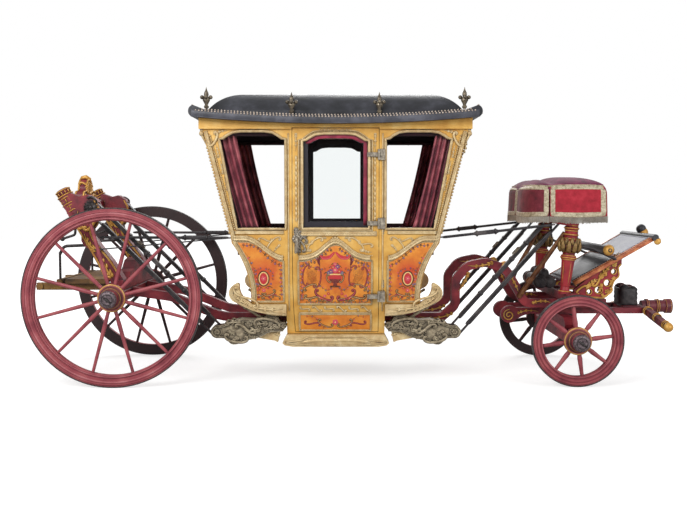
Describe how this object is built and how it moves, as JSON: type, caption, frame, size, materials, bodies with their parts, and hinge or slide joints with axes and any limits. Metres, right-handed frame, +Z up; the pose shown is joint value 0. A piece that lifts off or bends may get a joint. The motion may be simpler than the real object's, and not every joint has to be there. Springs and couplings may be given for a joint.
{
  "type": "horse-drawn coach",
  "caption": "Gilded baroque travelling coach: windowed cabin slung on leather straps between large rear wheels and a small-wheeled steering fore-carriage, with a draped driver's seat.",
  "frame": {"origin": "on the ground under the middle of the coach's length and width", "axes": "+X points forward along the coach, +Z up, +Y to the coach's left"},
  "size_m": [6.44, 2.136, 2.8248],
  "materials": {
    "painted_wood": "red lacquer paint with gilt lines, worn",
    "carved_gilt": "carved wood, gilded and painted",
    "gilt_panel": "painted and gilded panels",
    "cabin_lining": "crimson lining",
    "dark_sash": "dark stained",
    "black_leather": "waxed black leather",
    "crimson_velvet": "silk velvet",
    "wrought_iron": "forged, dark",
    "gilt_iron": "gilt iron",
    "window_glass": "clear"
  },
  "bodies": {
    "coach": {"perches": "painted_wood", "rear_axle": "painted_wood", "rear_bolster": "painted_wood", "rear_standards": "carved_gilt", "rear_crest": "carved_gilt", "rear_platform": "painted_wood", "rear_irons": "wrought_iron", "front_transom": "painted_wood", "front_standards": "carved_gilt", "front_stays": "carved_gilt", "driver_seat": "painted_wood", "hammercloth": "crimson_velvet", "footboard": "black_leather", "footboard_brackets": "carved_gilt", "foot_rails": "gilt_iron", "cabin_floor": "cabin_lining", "side_left": "gilt_panel", "side_right": "gilt_panel", "end_wall_front": "gilt_panel", "end_wall_rear": "gilt_panel", "cornice": "carved_gilt", "roof": "black_leather", "finials": "carved_gilt", "sill_scrolls": "carved_gilt", "step_boxes": "gilt_panel", "door_steps": "gilt_panel", "benches": "cabin_lining", "bench_cushions": "crimson_velvet", "curtains": "crimson_velvet", "hinge_pins": "gilt_iron", "strap_brackets": "carved_gilt", "bracket_wedges": "carved_gilt", "main_straps": "black_leather", "check_straps": "black_leather"},
    "fore_carriage": {"fore_axle": "painted_wood", "fore_bolster": "painted_wood", "futchells": "painted_wood", "splinter_bar": "carved_gilt", "pole_socket": "wrought_iron"},
    "wheel_front_left": {"wheel_front_left_wood": "painted_wood", "wheel_front_left_irons": "wrought_iron"},
    "wheel_front_right": {"wheel_front_right_wood": "painted_wood", "wheel_front_right_irons": "wrought_iron"},
    "wheel_rear_left": {"wheel_rear_left_wood": "painted_wood", "wheel_rear_left_irons": "wrought_iron"},
    "wheel_rear_right": {"wheel_rear_right_wood": "painted_wood", "wheel_rear_right_irons": "wrought_iron"},
    "door_left": {"door_left_door": "gilt_panel", "door_left_sash": "dark_sash", "door_left_glass": "window_glass", "door_left_fittings": "gilt_iron"},
    "door_right": {"door_right_door": "gilt_panel", "door_right_sash": "dark_sash", "door_right_glass": "window_glass", "door_right_fittings": "gilt_iron"}
  },
  "joints": [
    {"name": "steering", "type": "hinge", "parent": "coach", "child": "fore_carriage", "pos_m": [2.03, 0, 0.6], "axis": [0, 0, 1], "range_deg": [-35, 35]},
    {"name": "wheel_rear_left_spin", "type": "hinge", "parent": "coach", "child": "wheel_rear_left", "pos_m": [-2.37, 0.9, 0.85], "axis": [0, 1, 0], "continuous": true},
    {"name": "wheel_rear_right_spin", "type": "hinge", "parent": "coach", "child": "wheel_rear_right", "pos_m": [-2.37, -0.9, 0.85], "axis": [0, 1, 0], "continuous": true},
    {"name": "wheel_front_left_spin", "type": "hinge", "parent": "fore_carriage", "child": "wheel_front_left", "pos_m": [2.03, 0.86, 0.437], "axis": [0, 1, 0], "continuous": true},
    {"name": "wheel_front_right_spin", "type": "hinge", "parent": "fore_carriage", "child": "wheel_front_right", "pos_m": [2.03, -0.86, 0.437], "axis": [0, 1, 0], "continuous": true},
    {"name": "door_left_swing", "type": "hinge", "parent": "coach", "child": "door_left", "pos_m": [0.145, 0.778, 1.5], "axis": [0, 0, -1], "range_deg": [0, 90]},
    {"name": "door_right_swing", "type": "hinge", "parent": "coach", "child": "door_right", "pos_m": [0.145, -0.778, 1.5], "axis": [0, 0, 1], "range_deg": [0, 90]}
  ]
}
